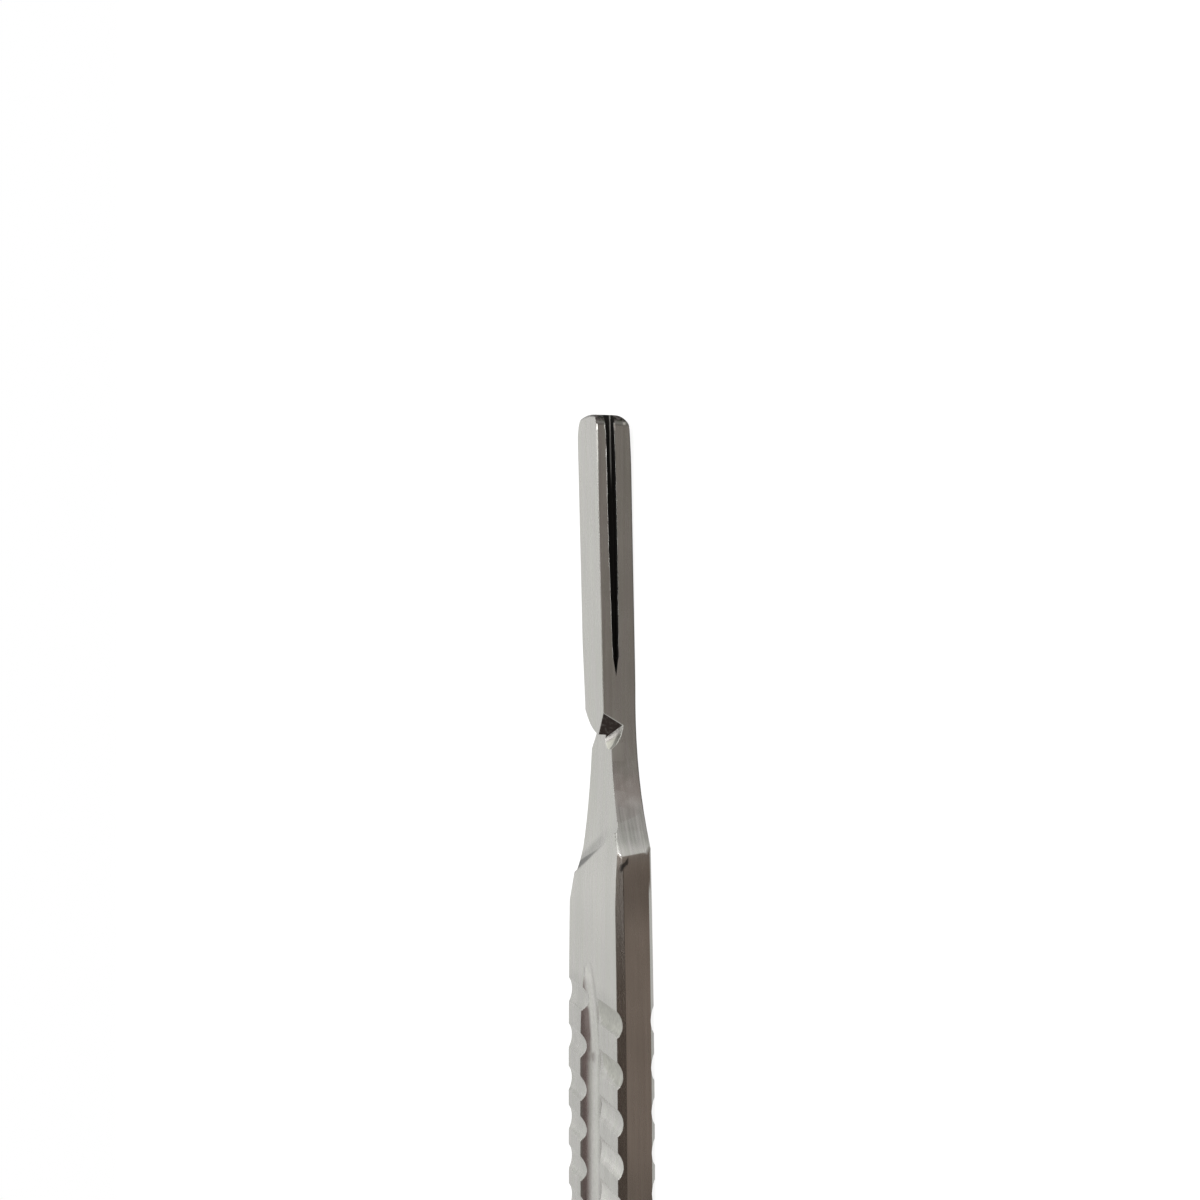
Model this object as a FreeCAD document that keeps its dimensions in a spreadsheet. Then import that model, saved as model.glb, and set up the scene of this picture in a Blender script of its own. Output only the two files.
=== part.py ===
import FreeCAD, Part
import math
import os
import Sketcher
from FreeCAD import Vector

# Scalpel handle with a detachable-blade nib, one piece of stainless steel.
# It lies on its back face: +X runs to the nib's tip, +Z is the front face with the nib's
# stepped side, and the origin is under the middle of its length, on the surface it lies on.
# Distances called "back" are measured from the tip line towards the rear end.
# The near side is -Y and the far side is +Y. All sizes are millimetres.

SIZES = [
    ("overall_length", 135.0, "tip to rear end"),
    ("body_thickness", 2.45, "front face to back face"),
    ("body_width", 14.1, "across the grip, where it is widest"),
    ("widest_back", 50.0, "where the body is widest"),
    ("side_radius", 297.0, "long curve of each side ahead of the widest place"),
    ("rear_radius", 4.9, "rounded rear end, half its width"),
    ("front_bevel", 0.46, "bevel along the front face"),
    ("back_bevel", 0.28, "bevel along the back face"),
    ("face_fall_start", 33.0, "where the front face begins to fall towards the shoulder"),
    ("face_fall_radius", 55.0, "curve of that fall"),
    ("nib_width", 5.15, "what the blade's slot slides over"),
    ("nib_length", 21.44, "tip to the stern point of the nib"),
    ("nib_tip_top", 2.71, "height of the nib's front face at the tip"),
    ("nib_stern_top", 2.24, "height of the nib's front face at its stern point"),
    ("nib_tip_lift", 0.30, "gap under the tip"),
    ("nib_lift_end", 18.0, "where the nib's back face comes down to the surface"),
    ("nib_far_straight", 15.2, "where the nib's far side begins to draw in to the neck"),
    ("nib_far_end", 19.5, "where it has drawn in"),
    ("tip_corner_near", 0.80, "corner of the tip in plan, near side"),
    ("tip_corner_far", 1.20, "corner of the tip in plan, far side"),
    ("tip_round_front", 0.22, "rounding of the end under the front face"),
    ("tip_round_back", 0.80, "rounding of the end over the back face"),
    ("stern_radius", 5.2, "curve of the nib's stern in plan"),
    ("stern_side", 1.50, "how far to the near side the stern point lies"),
    ("groove_mouth", 0.57, "blade groove, width at the tip"),
    ("groove_straight", 9.0, "where the blade groove begins to narrow"),
    ("groove_tail", 0.36, "blade groove, width where its fine point begins"),
    ("groove_length", 17.5, "blade groove, tip to its fine point"),
    ("groove_runout", 1.2, "length of the fine point"),
    ("groove_depth", 0.75, "blade groove, into the narrow side"),
    ("groove_drop", 0.96, "middle of the blade groove below the nib's front face"),
    ("floor_start", 22.3, "where the neck's floor begins to rise"),
    ("floor_front", 1.79, "height of the neck's floor behind the nib"),
    ("floor_rear", 1.99, "height of the neck's floor at the shoulder"),
    ("neck_far_half", 2.25, "half width of the neck on the far side"),
    ("flare_near_start", 19.1, "start of the near flare, on the back face"),
    ("flare_near_radius", 14.6, "hollow curve of the near flare"),
    ("flare_near_lean", 0.36, "how much further back the near flare lies on the front face"),
    ("flare_far_start", 21.0, "start of the far flare"),
    ("flare_far_radius", 22.0, "hollow curve of the far flare"),
    ("shoulder_back", 29.56, "the oblique shoulder, where it crosses the centre line"),
    ("shoulder_slope", 0.377, "how much further back it lies per unit towards the far side"),
    ("ramp_near_run", 0.30, "hollow ramp before the shoulder, near end"),
    ("ramp_near_rise", 0.12, "height of that ramp, near end"),
    ("ramp_far_run", 2.85, "hollow ramp before the shoulder, far end"),
    ("ramp_far_rise", 0.34, "height of that ramp, far end"),
    ("notch_root_back", 20.8, "root of the notch in the near narrow side"),
    ("notch_root_height", 0.98, "height of that root"),
    ("notch_nib_back", 19.93, "where the notch leaves the nib's front face"),
    ("notch_hollow", 2.75, "hollow curve of the notch's aft wall"),
    ("notch_top_back", 22.62, "upper end of that wall, drawn on over the neck's floor"),
    ("notch_top_height", 2.10, "height of that end"),
    ("notch_in", 1.40, "run of the notch's root inwards"),
    ("notch_aft", 0.92, "run of the notch's root backwards"),
    ("notch_up", 0.82, "run of the notch's root upwards"),
    ("nick_front", 20.10, "front end of the shallow nick in the far side"),
    ("nick_root_back", 21.55, "where the nick's root ends"),
    ("nick_root_height", 1.47, "height of that root"),
    ("nick_rear", 22.55, "where the nick comes up to the neck's floor"),
    ("nick_in", 1.25, "run of the nick's root inwards until it meets the floor"),
    ("nick_aft", 0.75, "run of the nick's root backwards on that way"),
    ("flute_count", 10, "grip flutes on each face"),
    ("flute_radius", 1.35, "hollow section of a flute"),
    ("flute_depth", 0.30, "depth of a flute"),
    ("front_flute_back", 39.9, "first flute on the front face"),
    ("front_flute_pitch", 2.77, "pitch on the front face"),
    ("front_flute_ease", 0.25, "how much the first gaps on the front face open"),
    ("back_flute_back", 39.65, "first flute on the back face"),
    ("back_flute_pitch", 2.62, "pitch on the back face"),
    ("back_flute_ease", 0.20, "how much the first gaps on the back face open"),
    ("channel_radius", 5.2, "hollow section of the long channel"),
    ("channel_depth", 0.70, "depth of the long channel"),
    ("channel_side", 0.60, "how far to the far side the channel lies"),
    ("channel_front", 44.2, "where the channel reaches its full depth"),
    ("channel_rear", 118.0, "where the channel leaves its full depth"),
    ("channel_cutter", 40.0, "radius of the wheel that leaves the channel's run-outs"),
    ("channel_turn", 20.0, "degrees of that wheel's rim along each run-out"),
    ("margin", 1.0, "how far cutting outlines reach past the steel"),
]

# How closely an edge has to match a height or a radius to be the one meant
TOLERANCE = 1e-3

doc = FreeCAD.newDocument("scalpel_handle")
sheet = doc.addObject("Spreadsheet::Sheet", "sizes")
for row, (alias, value, note) in enumerate(SIZES, start=1):
    sheet.set(f"A{row}", note)
    sheet.set(f"B{row}", str(value))
    sheet.setAlias(f"B{row}", alias)

body = doc.addObject("PartDesign::Body", "scalpel_handle")
body.Label = "scalpel_handle"
doc.recompute()


# Reading the sheet

def cell(text):
    """Turn plain names of sizes into references to the sheet."""
    words = []
    for word in text.replace("(", " ( ").replace(")", " ) ").split():
        words.append("sizes." + word if word[0].isalpha() and word != "sqrt" else word)
    return " ".join(words).replace("sqrt (", "sqrt(")


def number(text):
    """The present value of an expression on the sheet."""
    value = body.evalExpression(cell(text))
    return float(getattr(value, "Value", value))


def spot(place):
    """The point that two expressions give."""
    return Vector(number(place[0]), number(place[1]), 0)


# Drawing on the body's planes

def origin_plane(role):
    return next(item for item in body.Origin.OriginFeatures if item.Role == role)


def new_sketch(role, name, offset=None):
    """An empty sketch on one of the body's origin planes, or parallel to it."""
    sketch = body.newObject("Sketcher::SketchObject", name)
    sketch.AttachmentSupport = [(origin_plane(role), "")]
    sketch.MapMode = "FlatFace"
    if offset is not None:
        sketch.setExpression("AttachmentOffset.Base.z", cell(offset))
    return sketch


def bind(sketch, *constraint):
    """Add a size whose value follows an expression, given last."""
    text = constraint[-1]
    index = sketch.addConstraint(Sketcher.Constraint(*constraint[:-1], number(text)))
    sketch.setExpression(f"Constraints[{index}]", cell(text))


def pin(sketch, element, end, place):
    """Hold one point of an element at a place given by two expressions."""
    bind(sketch, "DistanceX", -1, 1, element, end, place[0])
    bind(sketch, "DistanceY", -1, 1, element, end, place[1])


def arc_about(centre, start, end):
    """An arc counter-clockwise about a centre from one point to another."""
    circle = Part.Circle(centre, Vector(0, 0, 1), (start - centre).Length)
    first = math.atan2(start.y - centre.y, start.x - centre.x)
    last = math.atan2(end.y - centre.y, end.x - centre.x)
    if last <= first:
        last += 2 * math.pi
    return Part.ArcOfCircle(circle, first, last)


def short_arc(start, end, radius):
    """The shorter arc of a radius, counter-clockwise from one point to another."""
    chord = end - start
    height = math.sqrt(radius ** 2 - chord.Length ** 2 / 4)
    inward = Vector(-chord.y, chord.x, 0).normalize()
    return arc_about((start + end) * 0.5 + inward * height, start, end)


def outline(sketch, steps):
    """A closed outline. Each step is a place, with the radius of the arc that leads on from
    it where that isn't a straight line. A minus before the radius turns the arc clockwise."""
    points = [spot(step) for step in steps]
    elements = []
    for step, start, end in zip(steps, points, points[1:] + points[:1]):
        if len(step) == 2:
            elements.append((sketch.addGeometry(Part.LineSegment(start, end)), 1, 2))
            continue
        radius = step[2].lstrip("-")
        if step[2].startswith("-"):
            arc = sketch.addGeometry(short_arc(end, start, number(radius)))
            elements.append((arc, 2, 1))
        else:
            arc = sketch.addGeometry(short_arc(start, end, number(radius)))
            elements.append((arc, 1, 2))
        bind(sketch, "Radius", arc, radius)
    for (element, head, tail), step in zip(elements, steps):
        pin(sketch, element, head, step)
    for (element, head, tail), following in zip(elements, elements[1:] + elements[:1]):
        joint = (element, tail, following[0], following[1])
        sketch.addConstraint(Sketcher.Constraint("Coincident", *joint))


# Cutting, with a check that each cut takes steel away

def finish_cut(feature, volume_before):
    """Make the feature the body's tip and see that it removed something."""
    body.Tip = feature
    doc.recompute()
    removed = volume_before - body.Shape.Volume
    print(f"{feature.Name}: removed {removed:.3f} mm3")
    if removed <= 0:
        raise RuntimeError(f"{feature.Name} cuts nothing")


def cut(kind, name, sketch, **settings):
    """Add a subtractive feature."""
    doc.recompute()
    before = body.Shape.Volume
    feature = body.newObject(kind, name)
    feature.Profile = sketch
    for setting, value in settings.items():
        setattr(feature, setting, value)
    finish_cut(feature, before)
    return feature


def cut_across(name, sketch):
    """Cut an outline of the side view through the whole width."""
    return cut("PartDesign::Pocket", name, sketch, Type="ThroughAll", SideType="Symmetric")


def cut_slanting(name, sketch, direction):
    """Cut an outline through the steel, both ways along a slanting direction."""
    reach = "2 * body_width"
    pocket = cut("PartDesign::Pocket", name, sketch, UseCustomVector=True, Direction=direction,
                 SideType="Symmetric", Length=number(reach))
    pocket.setExpression("Length", cell(reach))


# Blank, stamped to the plan outline

TIP = "overall_length / 2"
HALF_NIB = "nib_width / 2"
HALF_BODY = "body_width / 2"


def back(text):
    """X of a place given by its distance back from the tip line."""
    return f"{TIP} - ( {text} )"


def plan_outline():
    """Nib, neck, long sides and rounded rear end, before the flares are cut."""
    sketch = new_sketch("XY_Plane", "plan_outline")
    add = sketch.addGeometry
    tip = number(TIP)
    nib = number(HALF_NIB)
    neck = number("neck_far_half")
    half = number(HALF_BODY)
    near_round = number("tip_corner_near")
    far_round = number("tip_corner_far")
    widest = number(back("widest_back"))
    side_radius = number("side_radius")
    rear_radius = number("rear_radius")

    rear_centre = Vector(-tip + rear_radius, 0, 0)
    taper_radius = (widest - rear_centre.x) ** 2 + half ** 2 - rear_radius ** 2
    taper_radius /= 2 * (half - rear_radius)
    far_side = Vector(widest, half - side_radius, 0)
    far_taper = Vector(widest, half - taper_radius, 0)
    near_side = Vector(widest, side_radius - half, 0)
    near_taper = Vector(widest, taper_radius - half, 0)
    near_end = rear_centre + (rear_centre - near_taper).normalize() * rear_radius
    far_end = Vector(near_end.x, -near_end.y, 0)
    far_wide = Vector(widest, half, 0)
    near_wide = Vector(widest, -half, 0)

    far_step = number(back("flare_far_start"))
    near_step = number(back("flare_near_start"))
    far_meet = Vector(far_step, far_side.y + math.sqrt(side_radius ** 2 - (far_step - widest) ** 2), 0)
    near_meet = Vector(near_step, near_side.y - math.sqrt(side_radius ** 2 - (near_step - widest) ** 2), 0)
    near_tip = Vector(tip - near_round, near_round - nib, 0)
    far_tip = Vector(tip - far_round, nib - far_round, 0)
    on_near_end = Vector(tip, near_tip.y, 0)
    on_far_end = Vector(tip, far_tip.y, 0)
    on_near_side = Vector(near_tip.x, -nib, 0)
    on_far_side = Vector(far_tip.x, nib, 0)
    far_draw = Vector(number(back("nib_far_straight")), nib, 0)
    far_drawn = Vector(number(back("nib_far_end")), neck, 0)

    end_line = add(Part.LineSegment(on_near_end, on_far_end))
    far_corner = add(arc_about(far_tip, on_far_end, on_far_side))
    far_line = add(Part.LineSegment(on_far_side, far_draw))
    draw_line = add(Part.LineSegment(far_draw, far_drawn))
    neck_line = add(Part.LineSegment(far_drawn, Vector(far_step, neck, 0)))
    far_rise = add(Part.LineSegment(Vector(far_step, neck, 0), far_meet))
    far_front = add(arc_about(far_side, far_meet, far_wide))
    far_rear = add(arc_about(far_taper, far_wide, far_end))
    rear_arc = add(arc_about(rear_centre, far_end, near_end))
    near_rear = add(arc_about(near_taper, near_end, near_wide))
    near_front = add(arc_about(near_side, near_wide, near_meet))
    near_rise = add(Part.LineSegment(near_meet, Vector(near_step, -nib, 0)))
    near_line = add(Part.LineSegment(Vector(near_step, -nib, 0), on_near_side))
    near_corner = add(arc_about(near_tip, on_near_side, on_near_end))

    loop = [end_line, far_corner, far_line, draw_line, neck_line, far_rise, far_front, far_rear,
            rear_arc, near_rear, near_front, near_rise, near_line, near_corner]
    smooth = {end_line, far_corner, far_rear, rear_arc, near_line, near_corner}
    for element, following in zip(loop, loop[1:] + loop[:1]):
        kind = "Tangent" if element in smooth else "Coincident"
        sketch.addConstraint(Sketcher.Constraint(kind, element, 2, following, 1))
    for line in (end_line, far_rise, near_rise):
        sketch.addConstraint(Sketcher.Constraint("Vertical", line))
    for line in (far_line, near_line):
        sketch.addConstraint(Sketcher.Constraint("Horizontal", line))

    bind(sketch, "DistanceX", -1, 1, end_line, 1, TIP)
    bind(sketch, "Radius", far_corner, "tip_corner_far")
    bind(sketch, "Radius", near_corner, "tip_corner_near")
    pin(sketch, draw_line, 1, (back("nib_far_straight"), HALF_NIB))
    pin(sketch, neck_line, 1, (back("nib_far_end"), "neck_far_half"))
    pin(sketch, far_rise, 1, (back("flare_far_start"), "neck_far_half"))
    pin(sketch, near_line, 1, (back("flare_near_start"), f"0 - {HALF_NIB}"))
    pin(sketch, far_rear, 1, (back("widest_back"), HALF_BODY))
    pin(sketch, near_front, 1, (back("widest_back"), f"0 - {HALF_BODY}"))
    for side, taper in ((far_front, far_rear), (near_front, near_rear)):
        bind(sketch, "DistanceX", -1, 1, side, 3, back("widest_back"))
        bind(sketch, "DistanceX", -1, 1, taper, 3, back("widest_back"))
        bind(sketch, "Radius", side, "side_radius")
    pin(sketch, rear_arc, 3, (f"rear_radius - {TIP}", "0"))
    bind(sketch, "Radius", rear_arc, "rear_radius")
    return sketch


def blank():
    profile = plan_outline()
    doc.recompute()
    pad = body.newObject("PartDesign::Pad", "blank")
    pad.Profile = profile
    pad.setExpression("Length", cell("nib_tip_top"))
    body.Tip = pad
    doc.recompute()


def flare(name, wall, start, radius, side, direction):
    """The hollow curve that opens the neck out to the body, on the near or the far side."""
    sketch = new_sketch("XY_Plane", name + "_line")
    outside = f"{HALF_BODY} + margin"
    run = f"sqrt( {radius} ^ 2 - ( {radius} + {wall} - ( {outside} ) ) ^ 2 )"
    ahead = f"{start} - margin"
    outline(sketch, [
        (back(f"{start} + {run}"), f"{side} * ( {outside} )", radius if side == "1" else "-" + radius),
        (back(start), f"{side} * ( {wall} )"),
        (back(ahead), f"{side} * ( {wall} )"),
        (back(ahead), f"{side} * ( {outside} )"),
    ])
    cut_slanting(name, sketch, direction)


# Side view: the front face, the lean of the nib and the rounded end

def face_height(text):
    """Height of the nib's leaning front face at a distance back from the tip."""
    return f"nib_tip_top - ( {text} ) * ( nib_tip_top - nib_stern_top ) / nib_length"


def lift_height(text):
    """Height of the nib's back face over the surface at a distance back from the tip."""
    return f"nib_tip_lift - ( {text} ) * nib_tip_lift / nib_lift_end"


def front_face():
    """The nib's front face leans, and the body's front face is flat."""
    sketch = new_sketch("XZ_Plane", "front_face_line")
    outline(sketch, [
        (back("0 - margin"), face_height("0 - margin")),
        (back("floor_start"), face_height("floor_start")),
        (back("floor_start"), "body_thickness"),
        (back("overall_length + margin"), "body_thickness"),
        (back("overall_length + margin"), "nib_tip_top + margin"),
        (back("0 - margin"), "nib_tip_top + margin"),
    ])
    cut_across("front_face", sketch)


def under_nib():
    """The nib's back face rises a little off the surface towards the tip."""
    sketch = new_sketch("XZ_Plane", "under_nib_line")
    outline(sketch, [
        (back("0 - margin"), lift_height("0 - margin")),
        (back("nib_lift_end"), "0"),
        (back("0 - margin"), "0 - margin"),
    ])
    cut_across("under_nib", sketch)


def round_tip(name, radius, height, outward):
    """Round the end face over: outward is + for the front face and - for the back face."""
    sketch = new_sketch("XZ_Plane", name + "_line")
    inward = "-" if outward == "+" else "+"
    arc_radius = "-" + radius if outward == "+" else radius
    outline(sketch, [
        (back(radius), height, arc_radius),
        (TIP, f"{height} {inward} {radius}"),
        (back("0 - margin"), f"{height} {inward} {radius}"),
        (back("0 - margin"), f"{height} {outward} margin"),
        (back(radius), f"{height} {outward} margin"),
    ])
    cut_across(name, sketch)


# Bevels, ground along the body's edges, which run out where the flares cut them

def bevel(name, height, size_name):
    flares = (number("flare_near_radius"), number("flare_far_radius"))
    level = number(height)
    edges = []
    for index, edge in enumerate(body.Shape.Edges, start=1):
        box = edge.BoundBox
        flat = max(abs(box.ZMin - level), abs(box.ZMax - level)) < TOLERANCE
        if not flat or not isinstance(edge.Curve, Part.Circle):
            continue
        if min(abs(edge.Curve.Radius - radius) for radius in flares) > TOLERANCE:
            edges.append(f"Edge{index}")
    base = body.Tip
    before = body.Shape.Volume
    chamfer = body.newObject("PartDesign::Chamfer", name)
    chamfer.Base = (base, edges)
    chamfer.setExpression("Size", cell(size_name))
    finish_cut(chamfer, before)


# Neck: sunk floor, hollow ramp and oblique shoulder, with the front face falling to it

def shoulder(side):
    """Distance back of the oblique shoulder, at the near (-1) or the far (1) edge."""
    return f"shoulder_back + {side} * {HALF_BODY} * shoulder_slope"


def stern_cut():
    """Sink the neck behind the nib, which leaves the nib's curved stern standing."""
    sketch = new_sketch("XY_Plane", "stern_line", "floor_front")
    stern = back("nib_length")
    outline(sketch, [
        (f"{stern} + stern_radius", "stern_radius - stern_side", "stern_radius"),
        (stern, "0 - stern_side"),
        (stern, f"0 - {HALF_BODY}"),
        (back("floor_start"), f"0 - {HALF_BODY}"),
        (back("floor_start"), HALF_BODY),
        (f"{stern} + stern_radius", HALF_BODY),
    ])
    cut("PartDesign::Pocket", "stern_cut", sketch, Type="ThroughAll", Reversed=True)


def face_fall():
    """The front face falls away in a long curve towards the shoulder."""
    sketch = new_sketch("XZ_Plane", "face_fall_line")
    end = shoulder("-1")
    drop = f"face_fall_radius - sqrt( face_fall_radius ^ 2 - ( face_fall_start - ( {end} ) ) ^ 2 )"
    outline(sketch, [
        (back("face_fall_start"), "body_thickness", "-face_fall_radius"),
        (back(end), f"body_thickness - ( {drop} )"),
        (back(end), "body_thickness + margin"),
        (back("face_fall_start"), "body_thickness + margin"),
    ])
    cut_across("face_fall", sketch)


def floor_height(text):
    """Height of the neck's rising floor at a distance back from the tip."""
    rise = "( floor_rear - floor_front ) / ( shoulder_back - floor_start )"
    return f"floor_front + ( ( {text} ) - floor_start ) * {rise}"


def ramp_section(name, side, run, rise):
    """The recess in side view, at one edge: rising floor, hollow ramp and upright shoulder."""
    sketch = new_sketch("XZ_Plane", name, f"0 - ( {side} ) * {HALF_BODY}")
    head = shoulder(side)
    foot = f"{head} - {run}"
    above = "nib_tip_top + margin"
    radius = f"( {run} ^ 2 + {rise} ^ 2 ) / ( 2 * {rise} )"
    outline(sketch, [
        (back(head), f"{floor_height(foot)} + {rise}", radius),
        (back(foot), floor_height(foot)),
        (back("floor_start"), "floor_front"),
        (back("floor_start"), above),
        (back(head), above),
    ])
    return sketch


def neck_recess():
    near = ramp_section("recess_near", "-1", "ramp_near_run", "ramp_near_rise")
    far = ramp_section("recess_far", "1", "ramp_far_run", "ramp_far_rise")
    cut("PartDesign::SubtractiveLoft", "neck_recess", near, Sections=[far], Ruled=True)


# Notches in both corners behind the nib, each with a root that slants inwards and upwards

def near_notch():
    """The deep one: a flat wall under the nib and a hollow wall towards the neck."""
    sketch = new_sketch("XZ_Plane", "near_notch_line", HALF_NIB)
    above = "nib_tip_top + margin"
    lean = f"( {above} - notch_root_height ) / ( {face_height('notch_nib_back')} - notch_root_height )"
    outline(sketch, [
        (back("notch_top_back"), "notch_top_height", "notch_hollow"),
        (back("notch_root_back"), "notch_root_height"),
        (back(f"notch_root_back - ( notch_root_back - notch_nib_back ) * {lean}"), above),
        (back("notch_top_back"), above),
    ])
    direction = Vector(-number("notch_aft"), number("notch_in"), number("notch_up"))
    cut_slanting("near_notch", sketch, direction)


def far_nick():
    """The shallow one, which starts under the stern."""
    sketch = new_sketch("XZ_Plane", "far_nick_line", "0 - neck_far_half")
    above = "nib_tip_top + margin"
    fall = "( floor_front - nick_root_height )"
    stretch = f"( {above} - nick_root_height ) / {fall}"
    outline(sketch, [
        (back("nick_front"), "nick_root_height"),
        (back("nick_root_back"), "nick_root_height"),
        (back(f"nick_root_back + ( nick_rear - nick_root_back ) * {stretch}"), above),
        (back("nick_front"), above),
    ])
    direction = Vector(-number("nick_aft"), -number("nick_in"), number(fall))
    cut_slanting("far_nick", sketch, direction)


# Blade grooves in both narrow sides of the nib

def blade_grooves():
    sketch = new_sketch("XZ_Plane", "groove_line", HALF_NIB)
    tail_back = "groove_length - groove_runout"

    def lip(at, turn, width):
        """A place on the groove's upper (+) or lower (-) lip."""
        return (back(at), f"{face_height(at)} - groove_drop {turn} {width} / 2")

    outline(sketch, [
        lip("0 - margin", "-", "groove_mouth"),
        lip("0 - margin", "+", "groove_mouth"),
        lip("groove_straight", "+", "groove_mouth"),
        lip(tail_back, "+", "groove_tail"),
        (back("groove_length"), f"{face_height('groove_length')} - groove_drop"),
        lip(tail_back, "-", "groove_tail"),
        lip("groove_straight", "-", "groove_mouth"),
    ])
    groove = cut("PartDesign::Pocket", "near_groove", sketch, Type="Length",
                 Length=number("groove_depth"))
    groove.setExpression("Length", cell("groove_depth"))
    before = body.Shape.Volume
    mirrored = body.newObject("PartDesign::Mirrored", "far_groove")
    mirrored.Originals = [groove]
    mirrored.MirrorPlane = (origin_plane("XZ_Plane"), [""])
    finish_cut(mirrored, before)


# Grip: cross flutes and the long channel, on both faces

def hollow(sketch, middle, face, outward, radius, depth, proud):
    """A round-bottomed section in a face, drawn a little proud of it."""
    half = f"sqrt( {radius} ^ 2 - ( {radius} - {depth} - {proud} ) ^ 2 )"
    level = f"{face} {outward} {proud}"
    outline(sketch, [
        (f"{middle} - {half}", level, radius if outward == "+" else "-" + radius),
        (f"{middle} + {half}", level),
    ])


def flutes(name, face, outward, first, pitch, ease):
    """Hollow cuts across the whole width. The first gaps are a little wider than the rest."""
    sketch = new_sketch("XZ_Plane", name + "_line")
    eased = 0
    for index in range(int(number("flute_count"))):
        place = back(f"{first} + {index} * {pitch} + {eased} * {ease}")
        hollow(sketch, place, face, outward, "flute_radius", "flute_depth", "flute_depth / 4")
        eased = min(eased + 2, 3)
    cut_across(name, sketch)


def channel_section(name, at, face, outward):
    """The channel's section at one place along the body, and the axis of its wheel."""
    sketch = new_sketch("YZ_Plane", name, back(at))
    hollow(sketch, "channel_side", face, outward, "channel_radius", "channel_depth", "margin / 2")
    height = f"{face} {outward} ( channel_cutter - channel_depth )"
    start = spot(("0", height))
    axis = sketch.addGeometry(Part.LineSegment(start, start + Vector(number("margin"), 0, 0)), True)
    pin(sketch, axis, 1, ("0", height))
    pin(sketch, axis, 2, ("margin", height))
    return sketch


def channel(name, face, outward):
    """A straight run at full depth, with a run-out that the wheel's rim leaves at each end."""
    straight = channel_section(name + "_section", "channel_front", face, outward)
    length = "channel_rear - channel_front"
    pocket = cut("PartDesign::Pocket", name + "_straight", straight, Type="Length",
                 Length=number(length))
    pocket.setExpression("Length", cell(length))
    front = outward == "+"
    for end, at, turned in (("front_run", "channel_front", front), ("rear_run", "channel_rear", not front)):
        section = channel_section(f"{name}_{end}_section", at, face, outward)
        groove = cut("PartDesign::Groove", f"{name}_{end}", section, Reversed=turned,
                     ReferenceAxis=(section, ["Axis0"]), Angle=number("channel_turn"))
        groove.setExpression("Angle", cell("channel_turn"))


UPRIGHT = Vector(0, 0, 1)

blank()
near_lean = Vector(-number("flare_near_lean"), 0, number("body_thickness"))
flare("near_flare", HALF_NIB, "flare_near_start", "flare_near_radius", "-1", near_lean)
flare("far_flare", "neck_far_half", "flare_far_start", "flare_far_radius", "1", UPRIGHT)
front_face()
under_nib()
round_tip("tip_front_round", "tip_round_front", face_height("0"), "+")
round_tip("tip_back_round", "tip_round_back", "nib_tip_lift", "-")
stern_cut()
bevel("front_bevels", "body_thickness", "front_bevel")
bevel("back_bevels", "0", "back_bevel")
face_fall()
neck_recess()
near_notch()
far_nick()
blade_grooves()
flutes("front_flutes", "body_thickness", "+", "front_flute_back", "front_flute_pitch", "front_flute_ease")
flutes("back_flutes", "0", "-", "back_flute_back", "back_flute_pitch", "back_flute_ease")
channel("front_channel", "body_thickness", "+")
channel("back_channel", "0", "-")

# Checks before anything is written
for item in doc.Objects:
    if "Invalid" in item.State or "Error" in item.State:
        raise RuntimeError(f"{item.Name} failed: {item.State}")
shape = body.Shape
if shape.isNull() or not shape.isValid() or len(shape.Solids) != 1:
    raise RuntimeError("the handle isn't one valid solid")
box = shape.optimalBoundingBox(True, False)
print(f"size {box.XLength:.3f} x {box.YLength:.3f} x {box.ZLength:.3f} mm, volume {shape.Volume:.1f} mm3")

os.makedirs("parts", exist_ok=True)
shape.exportStep(f"parts/{body.Label}.step")
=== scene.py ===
import math

import bpy
from mathutils import Matrix, Vector, noise


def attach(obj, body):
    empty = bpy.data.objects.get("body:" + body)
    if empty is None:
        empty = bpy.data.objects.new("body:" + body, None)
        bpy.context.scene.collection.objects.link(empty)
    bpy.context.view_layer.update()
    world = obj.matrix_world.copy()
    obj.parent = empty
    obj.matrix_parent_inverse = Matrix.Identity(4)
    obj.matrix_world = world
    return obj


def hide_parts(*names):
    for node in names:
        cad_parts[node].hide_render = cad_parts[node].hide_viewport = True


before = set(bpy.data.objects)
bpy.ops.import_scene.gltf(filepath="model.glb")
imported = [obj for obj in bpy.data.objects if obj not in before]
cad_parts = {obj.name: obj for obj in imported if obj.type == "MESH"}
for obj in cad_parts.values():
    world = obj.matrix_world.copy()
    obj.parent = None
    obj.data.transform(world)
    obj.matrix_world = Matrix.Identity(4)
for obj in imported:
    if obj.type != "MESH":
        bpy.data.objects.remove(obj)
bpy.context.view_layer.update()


# Camera: it stands in front of the near narrow side, a little above it, and is turned on its
# side, so that the handle's length runs up the picture with the nib at the top.
view_from = Vector((0.05288, -0.12483, 0.03499))
view_along = Vector((0.0177, 0.9663, -0.2570)).normalized()
view_up = Vector((0.9998, -0.0178, 0.0021))
view_right = view_along.cross(view_up).normalized()
view_up = view_right.cross(view_along)

bpy.ops.object.select_all(action="DESELECT")
bpy.ops.object.camera_add()
camera = bpy.context.object
camera.name = "camera"
camera.matrix_world = Matrix.Translation(view_from) @ Matrix(
    (view_right, view_up, -view_along)).transposed().to_4x4()
camera.data.sensor_width = 36
camera.data.lens = 56.85
camera.data.clip_start = 0.005
camera.data.clip_end = 20
bpy.context.scene.camera = camera
bpy.context.scene.view_settings.view_transform = "Standard"


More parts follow.
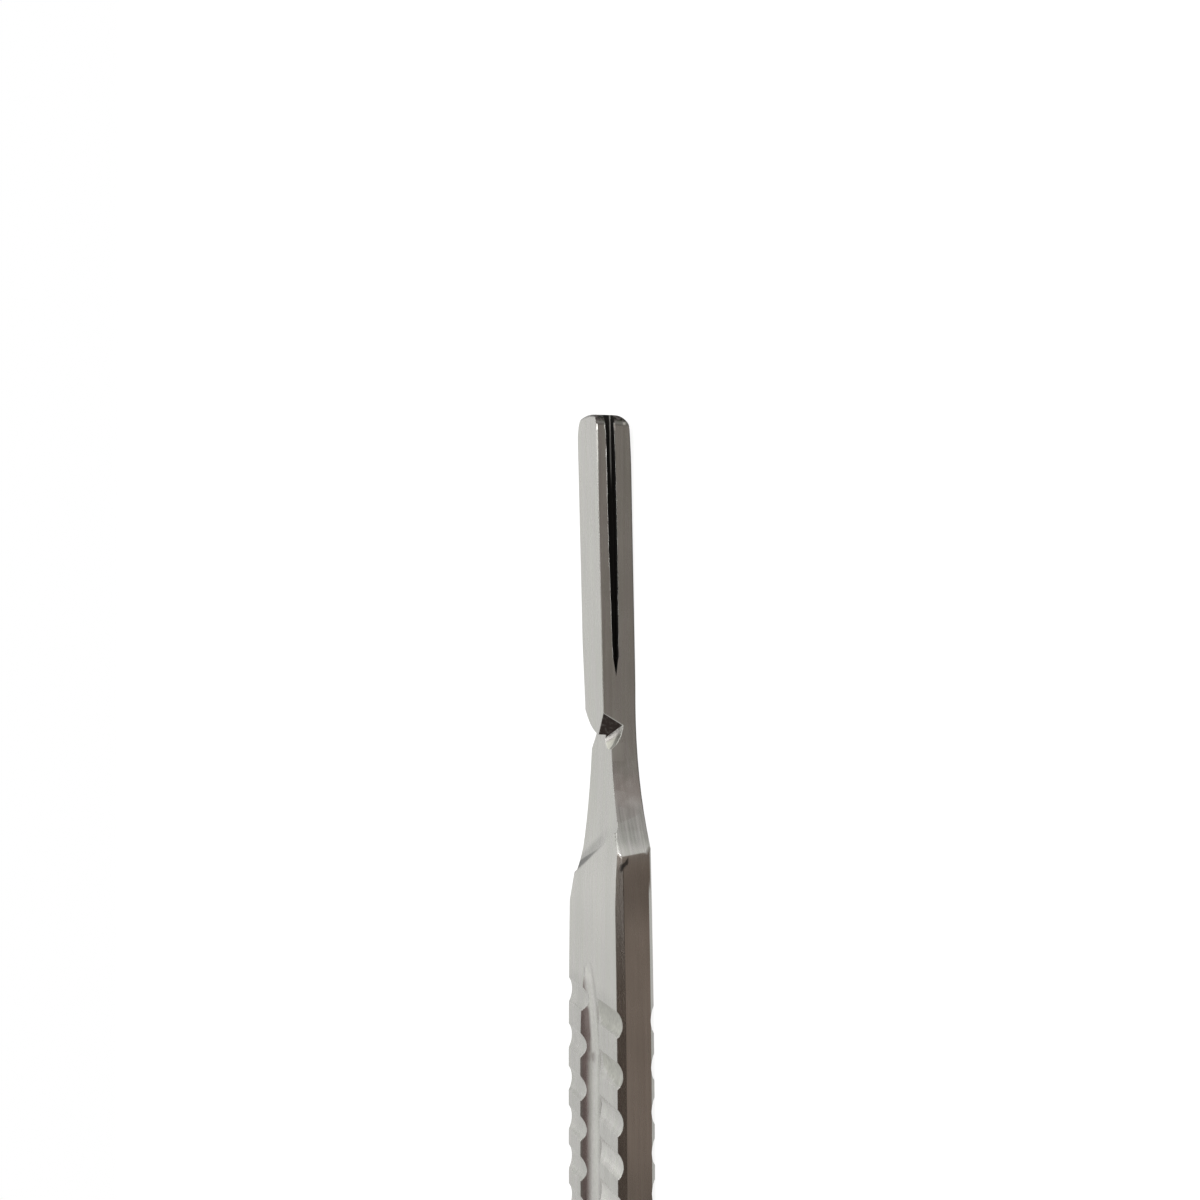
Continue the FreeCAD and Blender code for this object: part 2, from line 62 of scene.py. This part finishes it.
# Room: a studio with pale walls, brightest behind the handle, which the steel mirrors. Low on the
# camera's side it is dim and warm, and overhead it has a dark band with a pale patch at the
# zenith. A bright strip past the tip lights the worn edge there. The camera sees plain white.
class Value:
    """An output in a node tree that can be added, multiplied and shaped like a number."""

    def __init__(self, tree, socket):
        self.tree = tree
        self.socket = socket

    @classmethod
    def node(cls, tree, kind, settings=None, sockets=None, out=0):
        """Add a node: its settings first, then the values or links of its sockets."""
        made = tree.nodes.new(kind)
        for setting, value in (settings or {}).items():
            setattr(made, setting, value)
        for name, value in (sockets or {}).items():
            if isinstance(value, Value):
                tree.links.new(value.socket, made.inputs[name])
            else:
                made.inputs[name].default_value = value
        return cls(tree, made.outputs[out] if made.outputs else None)

    def math(self, operation, first, second=0.0):
        return Value.node(self.tree, "ShaderNodeMath", {"operation": operation},
                          {0: first, 1: second})

    def __add__(self, other):
        return self.math("ADD", self, other)

    def __radd__(self, other):
        return self.math("ADD", other, self)

    def __sub__(self, other):
        return self.math("SUBTRACT", self, other)

    def __rsub__(self, other):
        return self.math("SUBTRACT", other, self)

    def __mul__(self, other):
        return self.math("MULTIPLY", self, other)

    def __rmul__(self, other):
        return self.math("MULTIPLY", other, self)

    def size(self):
        return self.math("ABSOLUTE", self)

    def rise(self, start, end):
        """0 before start, 1 after end, and smooth between them. It falls where end is first."""
        return Value.node(self.tree, "ShaderNodeMapRange", {"interpolation_type": "SMOOTHSTEP"},
                          {"Value": self, "From Min": start, "From Max": end})

    def part(self, axis):
        """The X, Y or Z of a vector."""
        return Value.node(self.tree, "ShaderNodeSeparateXYZ", None, {0: self}, axis)

    def blend(self, low, high):
        """A colour between two, by this value."""
        return Value.node(self.tree, "ShaderNodeMix", {"data_type": "RGBA"},
                          {0: self, 6: low, 7: high}, 2)


white = (1, 1, 1, 1)
world = bpy.data.worlds.new("studio")
bpy.context.scene.world = world
world.use_nodes = True
room = world.node_tree
room.nodes.clear()
heading = Value.node(room, "ShaderNodeTexCoord")
across, away, above = heading.part("X"), heading.part("Y"), heading.part("Z")
glow = away.rise(0.2, 0.8) * above.rise(0.34, 0.46)
flank = away.rise(0.0, 0.3) * across.rise(0.22, 0.55) * above.rise(-0.6, -0.2)
dim = away.rise(-0.05, -0.45) * above.rise(0.14, -0.06) * across.size().rise(1.08, 0.50)
window = across.rise(0.93, 0.99) * away.rise(0.1, -0.3)
overhead = across.size().rise(0.60, 0.38)
strip = across.rise(0.085, 0.10) * across.rise(0.20, 0.17) * above.rise(0.50, 0.60)
light = (0.755, 0.75, 0.73, 1)
for where, colour in (
        (glow, (1.15, 1.15, 1.12, 1)),
        (flank, (0.50, 0.49, 0.48, 1)),
        (dim, (0.25, 0.222, 0.20, 1)),
        (window, (0.95, 0.94, 0.92, 1)),
        (overhead * above.rise(0.56, 0.76), (0.22, 0.18, 0.165, 1)),
        (overhead * above.rise(0.86, 0.96), (0.13, 0.113, 0.10, 1)),
        (above.rise(0.982, 0.992), (0.75, 0.745, 0.73, 1)),
        (strip, (3.0, 3.0, 2.94, 1))):
    light = where.blend(light, colour)
seen = Value.node(room, "ShaderNodeLightPath", None, None, "Is Camera Ray")
light = seen.blend(light, white)
background = Value.node(room, "ShaderNodeBackground", None, {"Color": light})
Value.node(room, "ShaderNodeOutputWorld", None, {"Surface": background})


# Lamps: a small soft box out past the nib and a long one above the camera, which glint on
# worn edges and corners.
aimed_at = Vector((0.045, 0, 0))
for name, stand, width, depth, power in (
        ("corner_box", (0.43, -0.31, 0.29), 0.22, 0.22, 1.2),
        ("edge_box", (0.045, -0.33, 0.38), 0.50, 0.12, 0.10)):
    bpy.ops.object.light_add(type="AREA", location=stand)
    lamp = bpy.context.object
    lamp.name = name
    lamp.rotation_mode = "QUATERNION"
    lamp.rotation_quaternion = (lamp.location - aimed_at).to_track_quat("Z", "Y")
    lamp.data.shape = "RECTANGLE"
    lamp.data.size = width
    lamp.data.size_y = depth
    lamp.data.energy = power


# Floor: a sheet of matt white paper under the handle. To the camera it is white, with the
# handle's contact shadow faintly on it, and the steel doesn't mirror it.
bpy.ops.mesh.primitive_grid_add(x_subdivisions=8, y_subdivisions=8, size=6)
floor = bpy.context.object
floor.name = "floor"
floor.visible_glossy = False
floor_paint = bpy.data.materials.new("floor_paint")
floor_paint.use_nodes = True
tree = floor_paint.node_tree
tree.nodes.clear()
matt = Value.node(tree, "ShaderNodeBsdfDiffuse", None, {"Color": (0.8, 0.8, 0.8, 1)})
shaded = Value.node(tree, "ShaderNodeBsdfDiffuse", None, {"Color": (0.3, 0.3, 0.3, 1)})
bright = Value.node(tree, "ShaderNodeEmission", None, {"Color": white, "Strength": 0.85})
paper = Value.node(tree, "ShaderNodeAddShader", None, {0: shaded, 1: bright})
seen = Value.node(tree, "ShaderNodeLightPath", None, None, "Is Camera Ray")
surface = Value.node(tree, "ShaderNodeMixShader", None, {0: seen, 1: matt, 2: paper})
Value.node(tree, "ShaderNodeOutputMaterial", None, {"Surface": surface})
floor.data.materials.append(floor_paint)


# Handle: one piece of stainless steel, stamped, milled and ground, then brushed lengthwise.
# Its faces come from the CAD solid, and its edges are worn round here, most of all at the tip,
# on the nib's back edge and where the near flare meets the body. Lengths are in millimetres.
MILLIMETRE = 0.001
nib_half = 2.575
nib_stern = 46.5
groove_half = 0.285
groove_base = 0.2703
groove_climb = 0.02192


def groove_middle(x):
    """Height of the middle of the blade groove, which climbs towards the tip."""
    return groove_base + groove_climb * x


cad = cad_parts["scalpel_handle"]
handle = bpy.data.objects.new("handle", cad.data.copy())
bpy.context.collection.objects.link(handle)
bpy.ops.object.select_all(action="DESELECT")
handle.select_set(True)
bpy.context.view_layer.objects.active = handle
bpy.ops.mesh.customdata_custom_splitnormals_clear()
bpy.ops.object.mode_set(mode="EDIT")
bpy.ops.mesh.select_mode(type="EDGE")
bpy.ops.mesh.select_all(action="SELECT")
bpy.ops.mesh.remove_doubles(threshold=1e-6)
bpy.ops.mesh.dissolve_limited(angle_limit=math.radians(0.3))

# Cuts across the nib and neck, beside the groove, and along the tip, which give the dome, the
# ragged lips and the worn edges enough corners
cut_step = 0.4
for cut in range(54):
    bpy.ops.mesh.select_all(action="SELECT")
    bpy.ops.mesh.bisect(plane_co=((45.3 + cut_step * cut) * MILLIMETRE, 0, 0),
                        plane_no=(1, 0, 0))
for beside in (-0.42, 0.42):
    bpy.ops.mesh.select_all(action="SELECT")
    bpy.ops.mesh.bisect(plane_co=(0, 0, (groove_base + beside) * MILLIMETRE),
                        plane_no=Vector((-groove_climb, 0, 1)))
for cut in range(7):
    bpy.ops.mesh.select_mode(type="FACE")
    bpy.ops.object.mode_set(mode="OBJECT")
    for face in handle.data.polygons:
        face.select = face.center.x > 66.45 * MILLIMETRE
    bpy.ops.object.mode_set(mode="EDIT")
    bpy.ops.mesh.bisect(plane_co=(0, (-1.38 + cut_step * cut) * MILLIMETRE, 0),
                        plane_no=(0, 1, 0))
bpy.ops.mesh.select_mode(type="EDGE")
bpy.ops.mesh.select_all(action="DESELECT")
bpy.ops.mesh.edges_select_sharp(sharpness=math.radians(18))
bpy.ops.object.mode_set(mode="OBJECT")


def portion(value):
    """A value held between 0 and 1."""
    return min(max(value, 0), 1)


crisp = 0
light_wear = 0.05
widest_wear = 0.2


def wear(middle, along):
    """How far an edge is worn back, by its middle and direction."""
    x, y, z = middle / MILLIMETRE
    flute_edge = x < 29.5 and abs(along.y) > 0.97 and 0.1 < z < 2.4
    bevel_foot = x < 38.5 and abs(y) > 4.5 and (1.9 < z < 2.04 or 0.2 < z < 0.35)
    groove_point = 49 < x < 51.4 and 0.8 < z < 1.9
    from_lip = abs(abs(z - groove_middle(x)) - groove_half)
    near_front = x > nib_stern and abs(y + nib_half) < 0.02 and z > 2
    if flute_edge or bevel_foot or groove_point:
        return crisp
    if x > 45 and abs(abs(y) - nib_half) < 0.02 and from_lip < 0.12:
        return light_wear
    if x > 66.2 and not near_front:
        # Round the tip. Its upright edges and the rim of its end stay as they are
        return crisp if abs(along.z) > 0.8 or x > 67.49 else 0.06
    if abs(z) < 0.32 and x > 39.5:
        # The back edges of the nib and the neck
        return 0.12
    if near_front:
        # Rubbed most where blades are slid on
        return light_wear + 0.11 * portion((x - 63.6) / 2)
    if 38 < x < 39.6 and y < -5:
        # The corner where the near flare meets the body
        return 0.17
    if 39.6 < x < nib_stern and y < -2.3 and z > 1.5:
        # The near front edge of the neck
        return 0.02
    return light_wear


marks = handle.data.attributes.new("bevel_weight_edge", "FLOAT", "EDGE")
for edge in handle.data.edges:
    if edge.select:
        start, end = (handle.data.vertices[index].co for index in edge.vertices)
        worn = wear((start + end) / 2, (end - start).normalized())
        marks.data[edge.index].value = worn / widest_wear
worn_edges = handle.modifiers.new("worn_edges", "BEVEL")
worn_edges.limit_method = "WEIGHT"
worn_edges.width = widest_wear * MILLIMETRE
worn_edges.segments = 3
worn_edges.use_clamp_overlap = False
bpy.ops.object.modifier_apply(modifier="worn_edges")

# The tip's end is domed, most on its far half, and its back is ground away a little. The cutter
# left a ragged burr along each lip of the groove.
dome_height = 0.28
dome_middle = 0.5
grind_depth = 0.15
tip_height = 2.7
burr = 0.03
for corner in handle.data.vertices:
    x, y, z = corner.co / MILLIMETRE
    swell = portion((x - 66.0) / 1.4)
    corner.co.x += swell ** 2 * (dome_height - 0.034 * (y - dome_middle) ** 2) * MILLIMETRE
    ground = portion((x - 63.5) / 4)
    corner.co.z += grind_depth * ground ** 2 * (1 - z / tip_height) * MILLIMETRE
    past_lip = abs(z - groove_middle(x)) - groove_half
    on_side = nib_half - 0.05 < abs(y) < nib_half + 0.001
    if 50 < x < 67.2 and on_side and -0.16 < past_lip < 0.06:
        ragged = noise.noise(Vector((x * 1.9, y, z * 3)))
        ragged += 0.6 * noise.noise(Vector((x * 5.3, y, z)))
        if abs(y) < nib_half - 0.002:
            corner.co.y += math.copysign(burr + burr * ragged, y) * MILLIMETRE
        corner.co.z += 0.025 * ragged * MILLIMETRE

bpy.ops.object.shade_smooth_by_angle(angle=math.radians(35))
flats = handle.modifiers.new("flats", "WEIGHTED_NORMAL")
flats.mode = "FACE_AREA"
flats.weight = 80
flats.keep_sharp = True
# In metres the faces' areas are too small for the modifier to tell apart
handle.data.transform(Matrix.Scale(1 / MILLIMETRE, 4))
bpy.ops.object.modifier_apply(modifier="flats")
handle.data.transform(Matrix.Scale(MILLIMETRE, 4))

# Finish: the steel's own colour and polish vary with the brushing, and with what each tool left,
# and some places get painted light and painted shade, as marked below. Places are read in
# millimetres, and a face is known by the way it points.
steel = bpy.data.materials.new("brushed_steel")
steel.use_nodes = True
tree = steel.node_tree
tree.nodes.clear()
place = Value.node(tree, "ShaderNodeTexCoord", None, None, "Object")
place = Value.node(tree, "ShaderNodeVectorMath", {"operation": "SCALE"},
                   {0: place, "Scale": 1 / MILLIMETRE})
x, y, z = place.part("X"), place.part("Y"), place.part("Z")
facing = Value.node(tree, "ShaderNodeTexCoord", None, None, "Normal")
facing_x, facing_y, facing_z = facing.part("X"), facing.part("Y"), facing.part("Z")


def grain(size, detail):
    """Noise from 0 to 1 whose grains have these sizes along X, Y and Z."""
    squeezed = Value.node(tree, "ShaderNodeVectorMath", {"operation": "DIVIDE"},
                          {0: place, 1: size})
    return Value.node(tree, "ShaderNodeTexNoise", None,
                      {"Vector": squeezed, "Scale": 1.0, "Detail": detail, "Roughness": 0.55})


def within(value, low, high, soft):
    """1 where a value lies between two limits, with soft ends."""
    return value.rise(low - soft, low + soft) * value.rise(high + soft, high - soft)


streak = grain((14.0, 0.45, 0.20), 4.0)
hair = grain((7.0, 0.16, 0.07), 2.0)
wall_streak = grain((6.0, 6.0, 0.17), 3.0)
band = grain((30.0, 1.6, 0.45), 2.0)
cloud = grain((3.5, 1.8, 1.8), 3.0)
tint = grain((9.0, 0.7, 0.22), 2.0)
speck = grain((0.09, 0.09, 0.09), 2.0)
fleck = grain((0.30, 0.22, 0.22), 3.0)

# Broad faces, narrow sides and bevels
front = facing_z.rise(0.75, 0.92)
side = facing_y.size().rise(0.80, 0.95)
bevelled = (within(facing_y.size(), 0.60, 0.80, 0.05) * within(facing_z, 0.60, 0.80, 0.05)
            * x.rise(39.0, 38.4))
# Painted light on the top of the bevel beside the shoulder corner, and a painted dark line where
# the bevel meets the narrow side
bevel_top_light = bevelled * x.rise(37.5, 38.1)
bevel_shade_line = ((z - 1.985).size().rise(0.055, 0.02) * y.rise(-5.0, -5.2) * side
              * x.rise(38.2, 37.6))
brown = side * x.rise(40.5, 37.0)
deep_brown = bevelled * x.rise(34.5, 29.5)

# Blade groove: black inside, but for a line that glints on its floor near the tip
above_groove = z - groove_climb * x
in_groove = (y.size().rise(2.56, 2.47) * x.rise(49.2, 49.9)
             * (above_groove - groove_base).size().rise(0.36, 0.31))
groove_glint = (in_groove * y.size().rise(1.98, 1.90) * x.rise(62.3, 64.5)
                * (above_groove - 0.095).size().rise(0.06, 0.03))

# Notch: dark on the wall under the nib's stern, and lightened with painted light on the one that
# faces the tip
in_notch = within(x, 45.2, 47.9, 0.1) * y.rise(-0.7, -1.0) * facing_x.rise(-0.35, -0.6)
notch_aft = (within(x, 44.4, 46.9, 0.05) * y.rise(-0.9, -1.1) * facing_x.rise(0.2, 0.35)
             * z.rise(0.9, 1.0))

# Tip: a dark, speckled end, painted shade on its rounded corners with a few painted glints, and
# the edge that blades rub
tip_end = (facing_x.rise(0.40, 0.62) * x.rise(66.7, 66.9)
           * (1 - z.rise(2.40, 2.52) * y.rise(-1.3, -0.5)))
tip_corner_shade = facing_x.rise(0.10, 0.30) * x.rise(66.5, 66.7)
tip_painted_glint = (within(x, 66.86, 67.06, 0.05) * within(z, 0.66, 0.84, 0.05)
             + within(x, 66.5, 67.1, 0.1) * (z - 1.455).size().rise(0.09, 0.05)
             ) * y.rise(-2.3, -2.4)
rubbed_edge = within(facing_z, 0.20, 0.94, 0.04) * y.rise(-2.2, -2.4) * x.rise(62.5, 65.5)
# Painted shade along the back edges of the nib and the neck
back_edge_shade = (facing_z.rise(-0.15, -0.45) * x.rise(39.2, 40.0) * facing_z.rise(-0.97, -0.9)
             * y.rise(-2.2, -2.4))


def flute_patch(middle, inner, tapered):
    """The floor of a flute on the near rib, ground roughly, which narrows towards the channel."""
    reach = 0.35 + 0.5 * y.rise(inner, inner - tapered)
    ragged = (x - middle).size() + 0.5 * (fleck - 0.5) - reach
    on_floor = facing_z.rise(0.5, 0.7) * facing_y.size().rise(0.5, 0.3) * z.rise(2.449, 2.42)
    outwards = (y + 0.8 * (fleck - 0.5)).rise(inner, inner - 0.5)
    return ragged.rise(0.10, -0.10) * on_floor * outwards


# Grip: the two foremost flutes are rough, the rearward ones bright, and the ribs unevenly dull
rough_flutes = ((0.12, flute_patch(27.7, -0.3, 2.6)), (0.09, flute_patch(24.5, -1.6, 3.0)))
rough_floor = rough_flutes[0][1] + rough_flutes[1][1]
bright_flutes = (x.rise(22.8, 18.0) * y.rise(-1.2, -1.6) * facing_z.rise(0.5, 0.7)
                 * facing_y.size().rise(0.5, 0.3) * z.rise(2.44, 2.40))
ribs = x.rise(29.6, 28.6) * facing_z.size().rise(0.5, 0.8)
lead_in = ((y - 0.35 * (x - 28.25) - 1.45).size().rise(0.24, 0.06)
           * within(x, 28.5, 29.9, 0.35) * front * z.rise(2.43, 2.447))
channel_wall = (within(facing_y, -0.95, -0.30, 0.06) * within(y, 0.3, 3.0, 0.1)
                * x.rise(31.0, 30.0) * z.size().rise(0.9, 1.1))

# Shoulder and neck: the ramp and the line at its step are darkened with painted shade, the flare
# is streaked by the grinding wheel and lightened near the corner with painted light, the neck's
# front edge is dulled with painted shade, the neck's side has a faint blush, and a smudge lies
# under the near corner
from_step = x - (37.94 - 0.377 * y)
step_shade_line = (within(from_step, -0.1, 0.12 + 0.58 * y.rise(-2.0, 5.5), 0.08)
             * (y + 1.5 * cloud).rise(-3.5, 3.5) * within(z, 1.75, 2.40, 0.04))
ramp_shade = (within(from_step, 0.0, 1.0, 0.35) * y.rise(-4.0, 1.5) * z.rise(1.7, 1.8)
        * facing_z.rise(0.8, 0.9))
flare_wall = within(x, 38.3, 41.5, 0.3) * y.rise(-3.4, -4.0) * facing_x.rise(0.25, 0.5)
# Painted shade that dulls the glint on the neck's front edge
neck_edge_shade = (within(facing_z, 0.15, 0.93, 0.05) * y.rise(-2.2, -2.4)
             * within(x, 40.2, 46.4, 0.3))
blush = side * within(x, 40.3, 43.4, 0.8) * y.rise(0.0, -1.0)
from_smudge = (x - 37.65 + 1.18 * (z - 2.08)).size() + 0.5 * (fleck - 0.5)
smudge = from_smudge.rise(0.32, 0.10) * within(z, 1.62, 2.14, 0.08) * y.rise(-5.7, -6.0)

# How light the steel is at each place: below 1 darkens it, above 1 lightens it
shade = (1 + 0.10 * (streak - 0.5) + 0.16 * (band - 0.5) * front + 0.12 * (cloud - 0.5)
         + 0.20 * (wall_streak - 0.5) * side + 0.05 * (hair - 0.5))
for change in (
        1 - 0.10 * brown,
        # painted shade on the back edges of the nib and the neck
        1 - 0.6 * back_edge_shade,
        # painted dark line where the bevel meets the narrow side
        1 - 0.55 * bevel_shade_line,
        # painted shade over the bevels, most towards the back end
        1 - bevelled * (0.42 + 0.11 * x.rise(34.5, 29.5)),
        # painted light on the top of the bevel near the shoulder corner
        1 + 0.55 * bevel_top_light,
        1 - side * (0.26 * within(x, 34.5, 38.0, 1.4) + 0.18 * x.rise(21.0, 16.0)),
        # painted sheen on the front face just behind the shoulder
        1 + front * (0.07 * within(x, 33.5, 38.2, 2.0)),
        1 - ribs * (0.11 - 0.30 * (fleck - 0.5) - 0.25 * (cloud - 0.5)),
        1 + 0.24 * bright_flutes,
        1 - 0.16 * channel_wall,
        *(1 - flute * (duller - 0.5 * (fleck - 0.5)) for duller, flute in rough_flutes),
        # painted shade on the ramp before the step
        1 - 0.34 * ramp_shade,
        # painted shadow line along the step
        1 - 0.84 * step_shade_line,
        1 - 0.35 * lead_in,
        # grinding streaks on the flare, with painted light near the corner
        1 + flare_wall * ((wall_streak - 0.5) * 0.8 + 0.30 * x.rise(39.6, 38.6) - 0.17),
        1 - 0.6 * in_groove * (1 - groove_glint),
        # painted light on the notch's wall that faces the tip
        1 + 0.60 * notch_aft,
        # painted shade on the tip's rounded corners
        1 - 0.45 * tip_corner_shade,
        # painted glints on the tip
        1 + 1.6 * tip_painted_glint,
        # painted shade that dulls the neck's front edge
        1 - 0.5 * neck_edge_shade,
        1 - tip_end * (0.90 - 1.6 * (fleck - 0.42))):
    shade = shade * change


def paint(red, green, blue):
    """A colour of the steel, as light as its place is."""
    return Value.node(tree, "ShaderNodeCombineColor", None,
                      {0: shade * red, 1: shade * green, 2: shade * blue})


# Colour: grey with a warm or a greenish tint, browner on the narrow sides and the bevels
colour = tint.rise(0.35, 0.65).blend(paint(0.550, 0.540, 0.528), paint(0.538, 0.542, 0.512))
speckled = fleck.rise(0.42, 0.58).blend(paint(0.50, 0.53, 0.40), paint(0.58, 0.49, 0.50))
for where, other in (
        ((brown * 0.85 + bevelled * 0.6).rise(0.0, 1.0), paint(0.56, 0.49, 0.435)),
        (0.8 * blush, paint(0.575, 0.530, 0.515)),
        (deep_brown, paint(0.53, 0.455, 0.39)),
        (channel_wall, paint(0.56, 0.495, 0.485)),
        (rough_floor + notch_aft, paint(0.54, 0.545, 0.50)),
        (tip_end, speckled)):
    colour = where.blend(colour, other)

roughness = (0.27 + 0.10 * (streak - 0.5) + 0.08 * (cloud - 0.5) + 0.28 * in_groove
             + 0.25 * in_notch + 0.15 * tip_end + 0.12 * rough_floor + 0.25 * notch_aft
             - 0.15 * rubbed_edge)
relief = (0.22 * streak + 0.10 * hair + 0.9 * speck * (in_notch + tip_end + in_groove)
          + 0.5 * fleck * (rough_floor + tip_end))
bump = Value.node(tree, "ShaderNodeBump", None,
                  {"Strength": 0.3, "Distance": 0.000015, "Height": relief})
bare = Value.node(tree, "ShaderNodeBsdfPrincipled", None,
                  {"Base Color": colour, "Metallic": 1.0, "Roughness": roughness,
                   "Normal": bump})

# Matt and black in the groove and the smudge, and matt dark brown in the notch
matt_dark_colour = in_notch.blend((0.010, 0.009, 0.008, 1), (0.036, 0.028, 0.025, 1))
matt_dark = Value.node(tree, "ShaderNodeBsdfPrincipled", None,
                   {"Base Color": matt_dark_colour, "Roughness": 0.9, "Specular IOR Level": 0.1})
matt_dark_share = (0.96 * in_groove * (1 - 0.75 * groove_glint)
         + in_notch * (1.0 - 0.10 * fleck.rise(0.45, 0.7)) + 0.85 * smudge)
surface = Value.node(tree, "ShaderNodeMixShader", None, {0: matt_dark_share, 1: bare, 2: matt_dark})
Value.node(tree, "ShaderNodeOutputMaterial", None, {"Surface": surface})
handle.data.materials.clear()
handle.data.materials.append(steel)
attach(handle, "root")
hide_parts("scalpel_handle")
